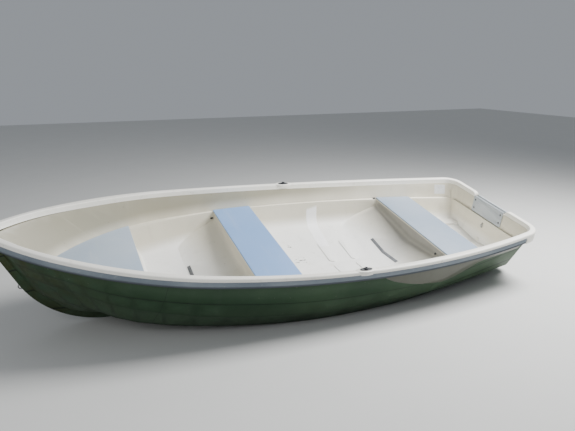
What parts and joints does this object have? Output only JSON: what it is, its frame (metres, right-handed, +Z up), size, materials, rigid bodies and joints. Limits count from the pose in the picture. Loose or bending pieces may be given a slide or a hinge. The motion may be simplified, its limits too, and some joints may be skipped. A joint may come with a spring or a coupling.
{
  "type": "rowing boat",
  "caption": "Open moulded rowing boat with a lapped hull, seat boxes, a notched transom for an outboard motor and rowlock sockets, lying heeled on its bilge.",
  "frame": {"origin": "middle of the bounding box, at ground level", "axes": "+X towards the bow, +Y to port, +Z up from the ground; the boat is heeled about twelve degrees to port"},
  "size_m": [3.9878, 1.4911, 0.7716],
  "materials": {
    "hull_green": "weathered gloss gel coat",
    "inner_cream": "weathered satin gel coat",
    "rim_cream": "satin gel coat",
    "seat_blue": "satin",
    "seat_pale": "satin",
    "fender_rubber": "matt",
    "pad_plastic": "matt",
    "black_plastic": "matt",
    "strip_grey": "matt ribbed",
    "side_cream": "satin gel coat",
    "bright_steel": "stained"
  },
  "bodies": {
    "root": {"hull_shell": "hull_green", "inner_moulding": "inner_cream", "gunwale": "rim_cream", "aft_thwart": "seat_pale", "middle_thwart": "seat_blue", "bow_seat": "seat_pale", "fender_port": "fender_rubber", "fender_starboard": "fender_rubber", "stern_corner_port": "rim_cream", "stern_corner_starboard": "rim_cream", "rowlock_socket_port": "black_plastic", "rowlock_socket_starboard": "black_plastic", "motor_pad_inner": "pad_plastic", "motor_pad_outer": "pad_plastic", "motor_pad_bolts": "bright_steel", "aft_foot_strip": "strip_grey", "forward_foot_strip": "strip_grey", "side_panel_port": "side_cream", "side_panel_starboard": "side_cream", "stern_eye": "bright_steel", "bow_eye": "bright_steel", "drain_plug": "black_plastic"}
  },
  "joints": []
}
